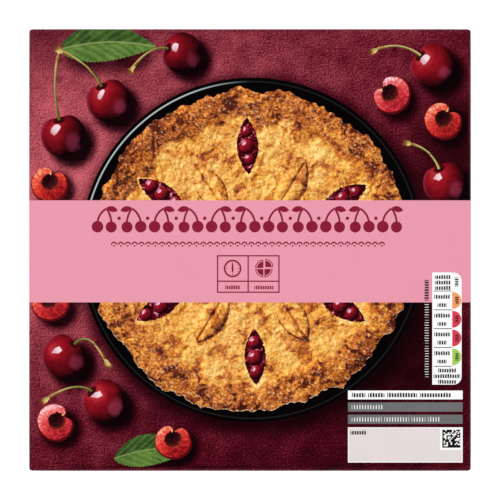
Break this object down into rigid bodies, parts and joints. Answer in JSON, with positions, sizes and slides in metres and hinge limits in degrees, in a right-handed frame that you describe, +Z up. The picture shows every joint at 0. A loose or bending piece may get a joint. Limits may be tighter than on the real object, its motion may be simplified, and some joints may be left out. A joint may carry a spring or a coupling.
{
  "type": "pie carton",
  "caption": "Shut, square, low carton of folded and glued printed board that holds a chilled fruit pie.",
  "frame": {"origin": "centre of the carton's underside, on the surface it lies on", "axes": "+X to the right of the printed face and towards one closed end, +Y towards the top edge of the printed face, +Z up out of the printed face"},
  "size_m": [0.195, 0.195, 0.044],
  "materials": {
    "printed_board": "offset print under a satin varnish on white-lined folding board"
  },
  "bodies": {
    "root": {"carton": "printed_board"}
  },
  "joints": []
}
